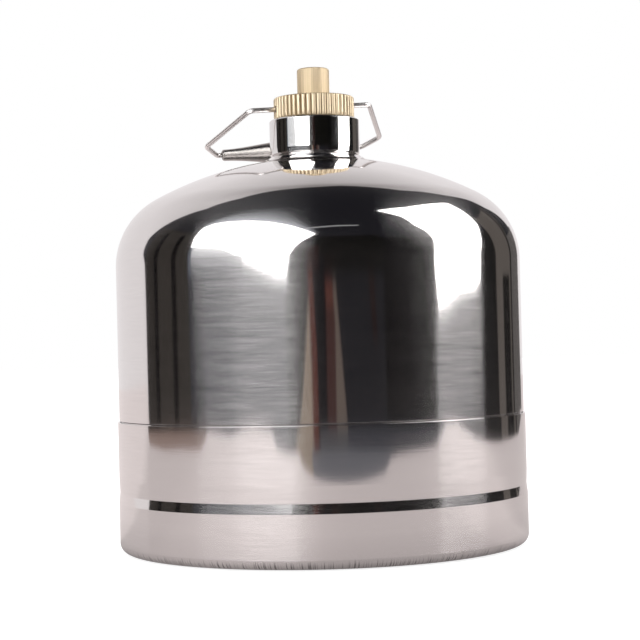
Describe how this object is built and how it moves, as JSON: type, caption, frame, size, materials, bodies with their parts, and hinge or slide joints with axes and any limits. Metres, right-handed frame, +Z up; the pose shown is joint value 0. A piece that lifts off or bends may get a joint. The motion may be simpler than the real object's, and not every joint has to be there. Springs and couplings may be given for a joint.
{
  "type": "camping fuel canister",
  "caption": "Refillable camping fuel canister: lapped steel vessel, brass valve under a knurled screw cap, and a wire bail with a wound grip.",
  "frame": {"origin": "middle of the standing plane, under the vessel's axis", "axes": "+Z up along the vessel's axis, -Y to the front, +X to the right"},
  "size_m": [0.1514, 0.1514, 0.1775],
  "materials": {
    "shell_steel": "finely brushed and polished",
    "base_steel": "pressed, satin",
    "collar_steel": "turned and polished",
    "valve_brass": "turned",
    "cap_brass": "turned, with a straight knurl",
    "seal_rubber": "matte",
    "spring_steel": "drawn wire",
    "bail_steel": "drawn wire",
    "grip_steel": "close-wound drawn wire"
  },
  "bodies": {
    "vessel": {"upper_shell": "shell_steel", "lower_shell": "shell_steel", "base_panel": "base_steel", "neck_collar": "collar_steel", "valve_body": "valve_brass", "valve_oring": "seal_rubber", "valve_spring": "spring_steel", "spring_retainer": "valve_brass"},
    "stem": {"valve_stem": "valve_brass", "stem_seal": "seal_rubber"},
    "cap_seal": {"cap_seal": "seal_rubber"},
    "cap": {"screw_cap": "cap_brass"},
    "bail": {"bail_wire": "bail_steel", "grip_coil": "grip_steel"}
  },
  "joints": [
    {"name": "stem_push", "type": "slide", "parent": "vessel", "child": "stem", "axis": [0, 0, -1], "range_m": [0, 0.002], "stiffness_N_per_m": 1500, "springref_m": -0.002, "deforming": ["valve_spring"]},
    {"name": "cap_lift", "type": "slide", "parent": "vessel", "child": "cap_seal", "axis": [0, 0, 1], "range_m": [0, 0.00545]},
    {"name": "cap_turn", "type": "hinge", "parent": "cap_seal", "child": "cap", "pos_m": [0, 0, 0.16259], "axis": [0, 0, 1], "range_deg": [0, 2160]},
    {"name": "bail_swing", "type": "hinge", "parent": "cap", "child": "bail", "pos_m": [0, 0, 0.16314], "axis": [0.9613, 0.2684, 0.0628], "range_deg": [-10, 230]}
  ],
  "couplings": [
    {"joint": "cap_lift", "follows": "cap_turn", "m_per_rad": 0.00014438}
  ]
}
